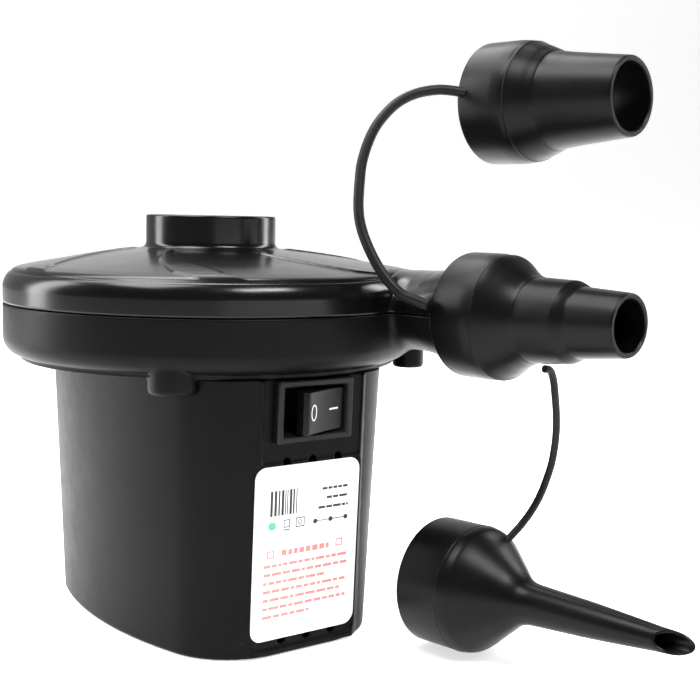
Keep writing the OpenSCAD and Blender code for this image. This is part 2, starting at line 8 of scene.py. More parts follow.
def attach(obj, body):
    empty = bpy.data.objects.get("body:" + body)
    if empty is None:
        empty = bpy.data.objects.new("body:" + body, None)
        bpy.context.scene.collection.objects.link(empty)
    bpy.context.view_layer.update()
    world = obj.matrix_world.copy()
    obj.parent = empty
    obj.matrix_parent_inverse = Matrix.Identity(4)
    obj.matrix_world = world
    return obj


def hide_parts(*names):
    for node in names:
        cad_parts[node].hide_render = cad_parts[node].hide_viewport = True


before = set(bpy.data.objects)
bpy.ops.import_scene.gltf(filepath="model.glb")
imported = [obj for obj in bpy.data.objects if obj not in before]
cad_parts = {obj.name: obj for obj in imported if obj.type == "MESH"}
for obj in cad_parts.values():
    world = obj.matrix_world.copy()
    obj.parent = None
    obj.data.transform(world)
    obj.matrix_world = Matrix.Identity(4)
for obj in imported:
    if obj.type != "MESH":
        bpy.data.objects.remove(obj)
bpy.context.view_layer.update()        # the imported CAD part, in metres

MM = 0.001
scene = bpy.context.scene

# ------------------------------------------------------------------ camera
cam_data = bpy.data.cameras.new("camera")
camera = bpy.data.objects.new("camera", cam_data)
scene.collection.objects.link(camera)
scene.camera = camera
focal_px, cam_dist, cam_az, cam_z, cam_pitch, cam_yaw, cam_roll = 1227.05, 332.27, -30.44, 107.32, 6.34, 6.54, 1.19
A, PI_, YA, RO = (math.radians(v) for v in (cam_az, cam_pitch, cam_yaw, cam_roll))
cam_pos = Vector((cam_dist*math.sin(A), -cam_dist*math.cos(A), cam_z))*MM
hd = Vector((-math.sin(A), math.cos(A), 0))
rd = Vector((math.cos(A), math.sin(A), 0))
ud = Vector((0, 0, 1))
fw = hd*math.cos(YA) + rd*math.sin(YA)
rt = rd*math.cos(YA) - hd*math.sin(YA)
look = fw*math.cos(PI_) - ud*math.sin(PI_)
upv = ud*math.cos(PI_) + fw*math.sin(PI_)
rt2 = rt*math.cos(RO) + upv*math.sin(RO)
up2 = upv*math.cos(RO) - rt*math.sin(RO)
camera.matrix_world = Matrix(((rt2.x, up2.x, -look.x, cam_pos.x), (rt2.y, up2.y, -look.y, cam_pos.y),
                              (rt2.z, up2.z, -look.z, cam_pos.z), (0, 0, 0, 1)))
cam_data.sensor_width = 36
cam_data.lens = focal_px/700*36
cam_data.clip_start = 0.01
cam_data.clip_end = 20

# ------------------------------------------------------------------ tethers
def catmull(p, m):
    p = [np.array(q, float) for q in p]
    out = []
    for i in range(len(p) - 1):
        a, b, c, d = p[max(i - 1, 0)], p[i], p[i + 1], p[min(i + 2, len(p) - 1)]
        for j in range(m):
            t = j/m
            out.append(0.5*((2*b) + (c - a)*t + (2*a - 5*b + 4*c - d)*t*t + (3*b - a - 3*c + d)*t**3))
    out.append(p[-1])
    return out

upper_route = [[22.2, -64, 86], [20.3, -61, 87.2], [18.5, -57.8, 88.6], [16.5, -54.4, 92.3], [15, -51, 97.5], [14.2, -48, 103.2], [14.3, -46.2, 108.5],
    [15.8, -44.5, 115.6], [17.2, -43.6, 120.5], [19.8, -43.2, 126.3], [22.8, -43.5, 130.8], [27, -44.6, 135], [31.5, -46.4, 137.5],
    [36.2, -48.5, 138.6], [39.2, -50.2, 138.6], [42.6, -52, 138.2]]
lower_route = [[42.2, -83.6, 71.7], [44.2, -83.6, 71.2], [46.2, -82.9, 68.6], [48, -81.9, 64.7], [49.5, -81.1, 60.3], [50.6, -80.3, 55.8],
    [51.2, -79.4, 51.4], [51.2, -78.6, 47.1], [50.5, -77.7, 42.8], [49.3, -76.9, 38.8], [47.4, -76.1, 35.1], [45, -75.2, 31.8], [42.4, -74.5, 29.2], [40.6, -74.1, 27.4]]


def route_length(pts):
    return float(sum(np.linalg.norm(pts[i + 1] - pts[i]) for i in range(len(pts) - 1)))


def strap(name, route, dia):
    pts = catmull(route, 5)
    cu = bpy.data.curves.new(name, 'CURVE')
    cu.dimensions = '3D'
    cu.bevel_depth = dia/2
    cu.bevel_resolution = 7
    cu.use_fill_caps = True
    sp = cu.splines.new('POLY')
    sp.points.add(len(pts) - 1)
    for q, v in zip(sp.points, pts):
        q.co = (v[0]*MM, v[1]*MM, v[2]*MM, 1)
        q.radius = MM
    sp.use_smooth = True
    ob = bpy.data.objects.new(name, cu)
    scene.collection.objects.link(ob)
    return ob, route_length(pts)*MM


tether_up, len_up = strap("tether_upper_strap", upper_route, 2.6)
tether_low, len_low = strap("tether_lower_strap", lower_route, 1.9)
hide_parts("tether_upper")
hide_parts("tether_lower")
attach(tether_up, "upper_nozzle")
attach(tether_low, "lower_nozzle")

# ------------------------------------------------------------------ materials
def nt(mat):
    mat.use_nodes = True
    t = mat.node_tree
    for n in list(t.nodes):
        t.nodes.remove(n)
    out = t.nodes.new('ShaderNodeOutputMaterial')
    bs = t.nodes.new('ShaderNodeBsdfPrincipled')
    t.links.new(bs.outputs[0], out.inputs[0])
    return t, bs


def add(t, kind, **kw):
    n = t.nodes.new(kind)
    for k, v in kw.items():
        if k.startswith('i_'):
            key = k[2:]
            key = int(key) if key.isdigit() else key.replace('_', ' ')
            n.inputs[key].default_value = v
        else:
            setattr(n, k, v)
    return n


def ramp(t, src, stops):
    r = t.nodes.new('ShaderNodeValToRGB')
    el = r.color_ramp.elements
    while len(el) < len(stops):
        el.new(0.5)
    for e, (p, c) in zip(el, stops):
        e.position = p
        e.color = (c, c, c, 1) if isinstance(c, (int, float)) else (*c, 1)
    t.links.new(src, r.inputs[0])
    return r.outputs[0]


def moulded(name, dark, light, r0, r1, grain=0.05, grain_scale=2600, coat=0.0, coat_r=0.2, spec=0.5, wear=0.0, patch=38):
    """Moulded plastic: slight tone and gloss drift, a fine moulded grain and lighter rubbed edges."""
    m = bpy.data.materials.new(name)
    t, b = nt(m)
    tc = add(t, 'ShaderNodeTexCoord')
    big = add(t, 'ShaderNodeTexNoise', i_Scale=patch, i_Detail=4.0, i_Roughness=0.55)
    fine = add(t, 'ShaderNodeTexNoise', i_Scale=grain_scale, i_Detail=2.0, i_Roughness=0.6)
    smear = add(t, 'ShaderNodeTexNoise', i_Scale=170.0, i_Detail=5.0, i_Roughness=0.7)
    for n in (big, fine, smear):
        t.links.new(tc.outputs['Object'], n.inputs['Vector'])
    col = ramp(t, big.outputs[0], [(0.3, dark), (0.7, light)])
    if wear > 0:
        geo = add(t, 'ShaderNodeNewGeometry')
        edge = ramp(t, geo.outputs['Pointiness'], [(0.53, 0.0), (0.62, 1.0)])
        mul = add(t, 'ShaderNodeMath', operation='MULTIPLY')
        t.links.new(edge, mul.inputs[0])
        t.links.new(ramp(t, smear.outputs[0], [(0.3, 0.35*wear), (0.7, wear)]), mul.inputs[1])
        mx = add(t, 'ShaderNodeMix', data_type='RGBA')
        t.links.new(mul.outputs[0], mx.inputs[0])
        t.links.new(col, mx.inputs[6])
        mx.inputs[7].default_value = (0.11, 0.11, 0.115, 1)
        col = mx.outputs[2]
    t.links.new(col, b.inputs['Base Color'])
    t.links.new(ramp(t, smear.outputs[0], [(0.3, r0), (0.72, r1)]), b.inputs['Roughness'])
    bump = add(t, 'ShaderNodeBump', i_Strength=grain, i_Distance=0.00012)
    t.links.new(fine.outputs[0], bump.inputs['Height'])
    t.links.new(bump.outputs[0], b.inputs['Normal'])
    b.inputs['Specular IOR Level'].default_value = spec
    if coat:
        b.inputs['Coat Weight'].default_value = coat
        b.inputs['Coat Roughness'].default_value = coat_r
    return m


def metal(name, c0, c1, r0, r1, stretch=(1, 1, 14), scale=300):
    m = bpy.data.materials.new(name)
    t, b = nt(m)
    tc = add(t, 'ShaderNodeTexCoord')
    mp = add(t, 'ShaderNodeMapping')
    mp.inputs['Scale'].default_value = stretch
    t.links.new(tc.outputs['Object'], mp.inputs['Vector'])
    n = add(t, 'ShaderNodeTexNoise', i_Scale=scale, i_Detail=4.0)
    t.links.new(mp.outputs[0], n.inputs['Vector'])
    t.links.new(ramp(t, n.outputs[0], [(0.3, c0), (0.7, c1)]), b.inputs['Base Color'])
    t.links.new(ramp(t, n.outputs[0], [(0.3, r0), (0.7, r1)]), b.inputs['Roughness'])
    b.inputs['Metallic'].default_value = 1.0
    bump = add(t, 'ShaderNodeBump', i_Strength=0.08, i_Distance=0.0001)
    t.links.new(n.outputs[0], bump.inputs['Height'])
    t.links.new(bump.outputs[0], b.inputs['Normal'])
    return m


def winding(name, c0, c1, scale, direction='Z'):
    """Enamelled wire laid side by side."""
    m = bpy.data.materials.new(name)
    t, b = nt(m)
    tc = add(t, 'ShaderNodeTexCoord')
    w = add(t, 'ShaderNodeTexWave', wave_type='BANDS', bands_direction=direction, i_Scale=scale, i_Distortion=0.4, i_Detail=1.0)
    t.links.new(tc.outputs['Object'], w.inputs['Vector'])
    t.links.new(ramp(t, w.outputs[0], [(0.1, c0), (0.8, c1)]), b.inputs['Base Color'])
    b.inputs['Metallic'].default_value = 0.7
    b.inputs['Roughness'].default_value = 0.3
    bump = add(t, 'ShaderNodeBump', i_Strength=0.5, i_Distance=0.0003)
    t.links.new(w.outputs[0], bump.inputs['Height'])
    t.links.new(bump.outputs[0], b.inputs['Normal'])
    return m


def board(name):
    m = bpy.data.materials.new(name)
    t, b = nt(m)
    tc = add(t, 'ShaderNodeTexCoord')
    v = add(t, 'ShaderNodeTexVoronoi', feature='DISTANCE_TO_EDGE', distance='MANHATTAN', i_Scale=260.0)
    t.links.new(tc.outputs['Object'], v.inputs['Vector'])
    t.links.new(ramp(t, v.outputs[0], [(0.03, (0.10, 0.30, 0.10)), (0.06, (0.015, 0.11, 0.04))]), b.inputs['Base Color'])
    b.inputs['Roughness'].default_value = 0.35
    bump = add(t, 'ShaderNodeBump', i_Strength=0.3, i_Distance=0.0001, invert=True)
    t.links.new(v.outputs[0], bump.inputs['Height'])
    t.links.new(bump.outputs[0], b.inputs['Normal'])
    return m


body_m = moulded("housing_plastic", (0.0022, 0.0022, 0.0023), (0.0032, 0.0032, 0.0033), 0.34, 0.42, grain=0.08, grain_scale=3200, wear=0.10, spec=0.07)
pan_m = moulded("pan_plastic", (0.0020, 0.0020, 0.0021), (0.0028, 0.0028, 0.0029), 0.34, 0.42, grain=0.08, grain_scale=3200, wear=0.12, spec=0.09)
lid_m = moulded("lid_plastic", (0.0016, 0.0016, 0.0017), (0.0024, 0.0024, 0.0025), 0.19, 0.24, grain=0.04, grain_scale=3600, wear=0.06, spec=0.26)
nozzle_m = moulded("nozzle_plastic", (0.0018, 0.0018, 0.0019), (0.0026, 0.0026, 0.0027), 0.31, 0.37, grain=0.08, grain_scale=3000, wear=0.10, spec=0.13)
strap_m = moulded("strap_rubber", (0.005, 0.005, 0.0052), (0.008, 0.008, 0.0082), 0.40, 0.50, grain=0.15, grain_scale=2400, spec=0.18)
switch_m = moulded("switch_plastic", (0.0046, 0.0046, 0.0048), (0.006, 0.006, 0.0062), 0.30, 0.37, grain=0.05, grain_scale=4000, wear=0.22, spec=0.2)
rocker_m = moulded("rocker_plastic", (0.0030, 0.0030, 0.0031), (0.0042, 0.0042, 0.0043), 0.33, 0.4, grain=0.05, grain_scale=4000, wear=0.08, spec=0.12)
rubber_m = moulded("soft_rubber", (0.02, 0.02, 0.02), (0.03, 0.03, 0.03), 0.65, 0.8, grain=0.3, grain_scale=1500)
white_m = moulded("white_nylon", (0.66, 0.65, 0.62), (0.74, 0.73, 0.70), 0.35, 0.5, grain=0.1, grain_scale=1800)
ink_white = moulded("printed_white", (0.62, 0.62, 0.61), (0.72, 0.72, 0.71), 0.4, 0.5, grain=0.05, grain_scale=6000)
ink_black = moulded("printed_black", (0.012, 0.012, 0.012), (0.03, 0.03, 0.03), 0.4, 0.55, grain=0.05, grain_scale=6000, patch=900)
ink_red = moulded("printed_red", (0.55, 0.17, 0.16), (0.66, 0.27, 0.25), 0.4, 0.55, grain=0.05, grain_scale=6000, patch=900)
ink_green = moulded("printed_green", (0.06, 0.42, 0.20), (0.10, 0.52, 0.26), 0.4, 0.55, grain=0.05, grain_scale=6000, patch=900)
label_m = moulded("label_film", (0.80, 0.80, 0.79), (0.86, 0.86, 0.85), 0.32, 0.42, grain=0.03, grain_scale=900)
cap_m = moulded("capacitor_sleeve", (0.03, 0.05, 0.22), (0.05, 0.07, 0.28), 0.2, 0.3)
red_m = moulded("wire_red_sleeve", (0.35, 0.015, 0.015), (0.45, 0.03, 0.03), 0.35, 0.45)
blackw_m = moulded("wire_black_sleeve", (0.015, 0.015, 0.015), (0.025, 0.025, 0.025), 0.35, 0.45)
can_m = metal("can_steel", (0.50, 0.51, 0.53), (0.62, 0.63, 0.65), 0.22, 0.36)
core_m = metal("core_steel", (0.30, 0.30, 0.31), (0.42, 0.42, 0.43), 0.3, 0.45, stretch=(1, 1, 40))
screw_m = metal("screw_zinc", (0.55, 0.55, 0.57), (0.7, 0.7, 0.72), 0.2, 0.35, stretch=(6, 6, 1))
bronze_m = metal("bush_bronze", (0.45, 0.29, 0.13), (0.6, 0.4, 0.2), 0.3, 0.45)
copper_m = metal("segment_copper", (0.6, 0.3, 0.17), (0.72, 0.4, 0.24), 0.25, 0.4)
ferrite_m = moulded("ferrite_grey", (0.04, 0.04, 0.042), (0.07, 0.07, 0.072), 0.55, 0.75, grain=0.4, grain_scale=1400)
coil_m = winding("coil_wire", (0.18, 0.06, 0.02), (0.55, 0.24, 0.09), 420.0)
choke_m = winding("choke_wire", (0.2, 0.07, 0.02), (0.58, 0.27, 0.1), 300.0, 'DIAGONAL')
board_m = board("board_laminate")

node_mats = {
    "body_shell": body_m, "base_cover": body_m, "volute_pan": pan_m, "volute_lid": lid_m, "seam_gasket": rubber_m,
    "outlet_collar": lid_m, "inlet_grille": lid_m, "motor_can": can_m, "motor_endcap": white_m, "motor_bush_top": bronze_m,
    "motor_bush_low": bronze_m, "magnet_left": ferrite_m, "magnet_right": ferrite_m, "armature_core": core_m, "armature_coils": coil_m,
    "commutator": copper_m, "motor_shaft": can_m, "impeller": white_m, "impeller_nut": bronze_m, "brush_left": ferrite_m,
    "brush_right": ferrite_m, "motor_sleeve": rubber_m, "damping_ring": rubber_m, "motor_screws": screw_m, "circuit_board": board_m,
    "capacitor": cap_m, "choke_coil": choke_m, "switch_body": switch_m, "switch_rocker": rocker_m, "switch_marks": ink_white,
    "switch_terminals": screw_m, "power_inlet": switch_m, "wire_live": red_m, "wire_return": blackw_m, "pan_screws": screw_m,
    "base_screws": screw_m, "rating_label": label_m, "nozzle_medium": nozzle_m, "nozzle_large": nozzle_m, "nozzle_small": nozzle_m,
    "tether_upper": strap_m, "tether_lower": strap_m}


def paint(ob, *mats):
    ob.data.materials.clear()
    for m in mats:
        ob.data.materials.append(m)


for name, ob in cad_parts.items():
    paint(ob, node_mats[name])
paint(tether_up, strap_m)
paint(tether_low, strap_m)

# ------------------------------------------------------------------ mesh helpers
def new_mesh(name, verts, faces, mat, smooth=True, normals=None):
    me = bpy.data.meshes.new(name)
    me.from_pydata([tuple(v) for v in (np.asarray(verts)*MM)], [], faces if isinstance(faces, list) else faces.tolist())
    me.validate()
    me.update()
    if smooth:
        me.polygons.foreach_set("use_smooth", [True]*len(me.polygons))
    if normals is not None and len(me.vertices) == len(normals):
        me.normals_split_custom_set_from_vertices([tuple(n) for n in normals])
    ob = bpy.data.objects.new(name, me)
    scene.collection.objects.link(ob)
    paint(ob, mat)
    return ob


def weighted(ob, angle=35):
    """Smooth shading with the hard edges kept."""
    me = ob.data
    bm = bmesh.new()
    bm.from_mesh(me)
    lim = math.radians(angle)
    for e in bm.edges:
        e.smooth = not (len(e.link_faces) == 2 and e.calc_face_angle(0) > lim)
    bm.to_mesh(me)
    bm.free()
    me.polygons.foreach_set("use_smooth", [True]*len(me.polygons))
    me.update()


def axis(*parts):
    """Grid lines from (start, end, step) pieces."""
    out = [parts[0][0]]
    for a, b, h in parts:
        n = max(1, int(round((b - a)/h)))
        out += list(a + (b - a)*(np.arange(1, n + 1)/n))
    return np.array(out, float)


def sparse_field(f, xs, ys, zs, B=6):
    nx, ny, nz = len(xs), len(ys), len(zs)

    def mids(a):
        k = np.arange(0, len(a), B)
        e = np.minimum(k + B, len(a) - 1)
        return (a[k] + a[e])/2, (a[e] - a[k])/2
    mx, hx = mids(xs)
    my, hy = mids(ys)
    mz, hz = mids(zs)
    X, Y, Z = np.meshgrid(mx, my, mz, indexing='ij')
    c = f(X.ravel(), Y.ravel(), Z.ravel()).reshape(X.shape)
    half = np.sqrt(hx[:, None, None]**2 + hy[None, :, None]**2 + hz[None, None, :]**2)
    act = np.abs(c) < half*1.35 + 1.2

    def grow(a):
        return np.repeat(np.repeat(np.repeat(a, B, 0), B, 1), B, 2)[:nx, :ny, :nz]
    F = grow(c).astype(np.float64)
    m = grow(act)
    i, j, k = np.nonzero(m)
    F[i, j, k] = f(xs[i], ys[j], zs[k])
    return F


def surface_net(f, xs, ys, zs, steps=3):
    F = sparse_field(f, xs, ys, zs)
    F[F == 0] = 1e-9
    S = F < 0
    nx, ny, nz = F.shape
    cshape = (nx - 1, ny - 1, nz - 1)
    pos_all, cell_all, quads = [], [], []
    ax = [xs, ys, zs]
    for d in range(3):
        sl0 = [slice(None)]*3
        sl1 = [slice(None)]*3
        sl0[d] = slice(0, -1)
        sl1[d] = slice(1, None)
        a, b = S[tuple(sl0)], S[tuple(sl1)]
        idx = np.nonzero(a != b)
        fa = F[tuple(sl0)][idx]
        fb = F[tuple(sl1)][idx]
        t = fa/(fa - fb)
        P = np.stack([ax[q][idx[q]] for q in range(3)], 1)
        g = ax[d]
        P[:, d] = g[idx[d]] + t*(g[idx[d] + 1] - g[idx[d]])
        u, v = (d + 1) % 3, (d + 2) % 3
        ids = []
        ok = np.ones(len(t), bool)
        for du, dv in ((-1, -1), (0, -1), (0, 0), (-1, 0)):
            c = [idx[0].copy(), idx[1].copy(), idx[2].copy()]
            c[u] = c[u] + du
            c[v] = c[v] + dv
            good = np.ones(len(t), bool)
            for q in range(3):
                good &= (c[q] >= 0) & (c[q] < cshape[q])
            lin = (np.clip(c[0], 0, cshape[0] - 1)*cshape[1] + np.clip(c[1], 0, cshape[1] - 1))*cshape[2] + np.clip(c[2], 0, cshape[2] - 1)
            pos_all.append(P[good])
            cell_all.append(lin[good])
            ids.append(lin)
            ok &= good
        Q = np.stack(ids, 1)[ok]
        flip = ~a[idx][ok]
        Q[flip] = Q[flip][:, ::-1]
        quads.append(Q)
    cells = np.concatenate(cell_all)
    pos = np.concatenate(pos_all)
    uniq, inv = np.unique(cells, return_inverse=True)
    cnt = np.bincount(inv)
    V = np.stack([np.bincount(inv, pos[:, q])/cnt for q in range(3)], 1)
    Q = np.searchsorted(uniq, np.concatenate(quads))
    e = 0.03

    def grad(V):
        g = np.empty_like(V)
        for q in range(3):
            A_, B_ = V.copy(), V.copy()
            A_[:, q] += e
            B_[:, q] -= e
            g[:, q] = (f(*A_.T) - f(*B_.T))/(2*e)
        return g
    for _ in range(steps):
        d = f(*V.T)
        g = grad(V)
        n2 = np.maximum((g*g).sum(1), 0.05)
        st = np.clip(d/n2, -0.3, 0.3)
        V = V - g*st[:, None]
    g = grad(V)
    N = g/np.maximum(np.linalg.norm(g, axis=1), 1e-6)[:, None]
    return V, Q, N


def rmax(a, b, r):
    """Meeting of two solids with their edge rounded to radius r."""
    return np.minimum(-r, np.maximum(a, b)) + np.sqrt(np.maximum(a + r, 0)**2 + np.maximum(b + r, 0)**2)


def rmin(a, b, r):
    return np.maximum(r, np.minimum(a, b)) - np.sqrt(np.maximum(r - a, 0)**2 + np.maximum(r - b, 0)**2)


def smin(a, b, k):
    h = np.maximum(k - np.abs(a - b), 0)/k
    return np.minimum(a, b) - h*h*h*k/6


def smooth_table(pts, lo, hi, n=900):
    """Smooth curve through a few (r, z) points, as a table with its slope."""
    p = np.array(pts, float)
    d = np.diff(p[:, 1])/np.diff(p[:, 0])
    m = np.concatenate([[d[0]], (d[:-1] + d[1:])/2, [d[-1]]])
    x = np.linspace(lo, hi, n)
    i = np.clip(np.searchsorted(p[:, 0], x) - 1, 0, len(p) - 2)
    h = p[i + 1, 0] - p[i, 0]
    t = np.clip((x - p[i, 0])/h, 0, 1)
    y = ((2*t**3 - 3*t**2 + 1)*p[i, 1] + (t**3 - 2*t**2 + t)*h*m[i] + (-2*t**3 + 3*t**2)*p[i + 1, 1] + (t**3 - t**2)*h*m[i + 1])
    return x, y, np.gradient(y, x)


def rrect(x, z, w, h, r):
    qx = np.abs(x) - (w/2 - r)
    qz = np.abs(z) - (h/2 - r)
    return np.minimum(np.maximum(qx, qz), 0) + np.sqrt(np.maximum(qx, 0)**2 + np.maximum(qz, 0)**2) - r


# ------------------------------------------------------------------ housing
HW, FR, BK, BOW, CR, BH, DR, WALL = 32.3, 46.0, 46.2, 9.6, 20.0, 68.4, 0.04, 2.2
SIDE = (46*46 + BOW*BOW)/(2*BOW)
TILT = math.atan(DR)
ct, st_ = math.cos(TILT), math.sin(TILT)


def outline_d(x, y, g):
    x = np.abs(x)
    f = np.where(y > 0, BK, FR) + g
    y = np.abs(y)
    X = HW + g
    r = CR + 0.3*g
    cx = X - SIDE + np.sqrt((SIDE - r)**2 - (f - r)**2)
    cy = f - r
    sx = X - SIDE
    side = np.hypot(x - sx, y) - SIDE
    ta = cy/(cx - sx)
    wedge = y < (x - sx)*ta
    corner = np.hypot(x - cx, y - cy) - r
    return np.where(x < cx, np.maximum(y - f, side), np.where(wedge, side, corner))


def front_local(x, y, z, ox, oz):
    ry = y + (FR + DR*oz)
    rz = z - oz
    return x - ox, ry*ct + rz*st_, -ry*st_ + rz*ct


def body_f(x, y, z):
    k = 1/math.sqrt(1 + DR*DR)
    out = outline_d(x, y, DR*z)*k
    # flat front panel with chamfered sides
    lx0, ly0, lz0 = front_local(x, y, z, 0.5, 34.2)
    pad = rmax((np.abs(lx0) - (14.7 + 1.3*ly0))*0.61, -ly0, 0.35)
    pad = np.maximum(pad, np.maximum(ly0 - 3.2, np.abs(lz0) - 33.9))
    out = np.minimum(out, pad)
    out = rmax(out, -z, 0.9)
    out = rmax(out, z - BH, 0.3)
    inn = np.maximum(outline_d(x, y, DR*z - WALL)*k, 2.5 - z)
    seat = np.maximum(outline_d(x, y, np.full_like(z, -WALL))*k, z - 3)
    f = np.maximum(out, -np.minimum(inn, seat))
    # recessed panel round the switch, and the wider field of the label
    lx, ly, lz = front_local(x, y, z, 0.7, 60.2)
    up_f = rmax(rrect(lx, lz, 28.6, 24.6, 1.0), ly - 0.75, 0.3)
    lx2, ly2, lz2 = front_local(x, y, z, 0.0, 25.2)
    lo_f = rmax(rrect(lx2, lz2, 31.4, 46.4, 3.2), ly2 - 0.6, 0.3)
    rec = np.minimum(up_f, lo_f)
    f = rmax(f, -rec, 0.5)
    # long cooling slots
    for sx in (-6.2, 1.3, 8.8):
        s = np.maximum(rrect(lx2 - sx, lz2 - 0.5, 2.2, 46.4, 1.05), np.abs(ly2) - 5)
        f = rmax(f, -s, 0.25)
    # switch cut-out
    lx3, ly3, lz3 = front_local(x, y, z, 0.4, 60.4)
    f = np.maximum(f, -np.maximum(rrect(lx3, lz3, 19.6, 12.2, 0.6), np.abs(ly3) - 6))
    # back vents
    q = np.abs(x)/4.4
    vx = (q - np.round(q))*4.4
    v = np.maximum(rrect(vx, z - 46, 2.2, 26, 1.05), np.maximum(38 - y, np.abs(x) - 19.5))
    f = rmax(f, -v, 0.3)
    # power inlet hole
    f = np.maximum(f, -np.maximum(np.hypot(x, z - 12) - 5.6, 38 - y))
    return f


V, Q, N = surface_net(body_f,
    axis((-38.5, -20, 0.8), (-20, 20.4, 0.43), (20.4, 38.5, 0.8)),
    axis((-51, -44, 0.4), (-44, 42, 1.2), (42, 51, 0.6)),
    axis((-0.8, 5.2, 0.4), (5.2, 31.2, 1.0), (31.2, 45.2, 0.8), (45.2, 69.6, 0.45)))
body_vis = new_mesh("housing_moulding", V, Q, body_m, normals=N)
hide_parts("body_shell")
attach(body_vis, "housing")

# ------------------------------------------------------------------ volute
DISC, SEAM, PAN, FLANGE, SHO, COL_T, COL_R, INL = 54.0, 83.0, 69.6, 49.6, 90.7, 106.1, 17.2, 15.5
SPX, SPY, SPA = 38.8, 61.0, math.radians(7)


def spout_local(x, y, z):
    rx, ry = x - SPX, y + SPY
    return rx*math.cos(SPA) + ry*math.sin(SPA), -rx*math.sin(SPA) + ry*math.cos(SPA), z - SEAM


def spout_f(x, y, z):
    lx, ly, lz = spout_local(x, y, z)
    a = np.interp(ly, [0.6, 7.5, 18, 38], [14.0, 14.6, 14.8, 13.5])
    b = np.interp(ly, [0.6, 4, 7.5, 12, 18, 38], [12.4, 11.5, 10.7, 10.3, 10.2, 9.4])
    k1 = np.sqrt((lx/a)**2 + (lz/b)**2)
    k2 = np.sqrt((lx/a**2)**2 + (lz/b**2)**2)
    d = np.where(k1 > 1e-4, k1*(k1 - 1)/np.maximum(k2, 1e-6), -b)
    d = rmax(d, 0.6 - ly, 0.5)
    return np.maximum(d, ly - 38)


def duct_f(x, y, z):
    lx, ly, lz = spout_local(x, y, z)
    s = np.maximum(rrect(lx, lz, 25, 16.4, 8), np.maximum(1 - ly, ly - 42))
    bore = np.maximum(np.hypot(lx, lz) - 10.6, np.maximum(-2 - ly, ly - 3))
    return np.minimum(s, bore)


def pan_f(x, y, z):
    r = np.hypot(x, y)
    disc = rmax(r - DISC, PAN - z, 4.6)
    disc = smin(disc, spout_f(x, y, z), 5.0)
    fl = rmax(r - FLANGE, (PAN - 1.2) - z, 0.35)
    fl = np.maximum(fl, z - PAN - 2)
    f = rmin(disc, fl, 0.5)
    body = np.maximum(outline_d(x, y, np.full_like(z, DR*BH + 0.08)), z - BH)
    b = np.full_like(z, 1e3)
    for bx, by in ((-30.7, -35.7), (-30.7, 35.7), (30.7, 35.7)):
        b = np.minimum(b, rmax(np.hypot(x - bx, y - by) - 6.05, 64.6 - z, 1.3))
    b = rmax(b, -body, 0.2)
    b = np.minimum(b, rmax(np.hypot(x - 43.8, y + 31) - 4.2, 66.3 - z, 0.9))
    b = np.maximum(b, z - 72)
    f = rmin(f, b, 0.4)
    f = rmax(f, z - (SEAM - 0.10), 0.42)
    inner = rmax(r - (DISC - WALL - 0.6), (PAN + 2) - z, 1.5)
    inner = np.minimum(inner, duct_f(x, y, z))
    f = np.maximum(f, -inner)
    f = np.maximum(f, -np.maximum(r - 30, z - PAN))
    f = np.maximum(f, -(r - 8))
    return f


V, Q, N = surface_net(pan_f,
    axis((-55.5, 56.5, 0.62)), axis((-64, -20, 0.62), (-20, 55.5, 0.8)), axis((64.0, 68, 0.5), (68, 70.2, 0.275), (70.2, 81.5, 0.75), (81.5, 84, 0.3)))
pan_vis = new_mesh("volute_pan_moulding", V, Q, pan_m, normals=N)
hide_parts("volute_pan")
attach(pan_vis, "housing")

hx, hz_, hs = smooth_table([(15, 98.0), (18.5, 97.4), (20, 97.14), (24, 96.62), (28, 96.04), (32, 95.43), (36, 94.78), (40, 94.13), (43, 93.6), (45, 93.23), (47, 92.86), (49, 92.42), (52, 91.75), (55, 91.1)], 14, 55)
gx, gz, gs = smooth_table([(15, 95.4), (23, 94.3), (30, 92.9), (38, 90.9), (43, 88.5), (46, 88.1), (50.2, 85.7), (51.2, 83.7)], 14, 52)


def lid_f(x, y, z):
    r = np.hypot(x, y)
    th = np.degrees(np.arctan2(y, x))
    H = np.interp(r, hx, hz_) + np.clip((x - 10)/25, 0, 1)*0.5
    s = np.interp(r, hx, hs)
    # six low swirl arms on the dome
    a0 = np.interp(r, [18, 24.2, 35.6, 47, 51.6], [-153, -149, -140, -131, -122])
    w = np.interp(r, [18, 22.4, 34.8, 45.1, 51.4], [4.0, 5.4, 11.6, 14.5, 11.4])
    ph = (th - a0 + 3) % 60 - 3
    arc = r*math.pi/180
    rise = 0.5 + 0.5*np.tanh(ph*arc/0.35)
    fall = 0.5 - 0.5*np.tanh((ph - w)*arc/0.45)
    fade = np.clip((r - 18.8)/2.0, 0, 1)*np.clip((51.4 - r)/1.5, 0, 1)
    H = H + 0.42*rise*fall*fade
    disc = rmax(r - DISC, (z - H)/np.sqrt(1 + s*s), 4.2)
    # fine line round the rim
    disc = disc + 0.22*np.exp(-((r - 51.9)/0.35)**2)*(z > 89)
    f = smin(disc, spout_f(x, y, z), 5.0)
    col = rmax(r - COL_R, z - COL_T, 0.55)
    f = rmin(f, col, 1.3)
    f = rmax(f, SEAM + 0.10 - z, 0.42)
    inner = np.maximum(z - np.interp(r, gx, gz), r - (DISC - WALL - 0.6))
    inner = np.minimum(inner, duct_f(x, y, z))
    f = np.maximum(f, -inner)
    f = rmax(f, INL - r, 0.5)
    return f


V, Q, N = surface_net(lid_f,
    axis((-55.5, 56.5, 0.52)), axis((-64, 12, 0.52), (12, 55.5, 0.75)), axis((82.2, 84.4, 0.3), (84.4, 90, 0.55), (90, 99.5, 0.42), (99.5, 104.6, 0.7), (104.6, 106.9, 0.3)))
lid_vis = new_mesh("volute_lid_moulding", V, Q, lid_m, normals=N)
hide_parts("volute_lid")
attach(lid_vis, "housing")

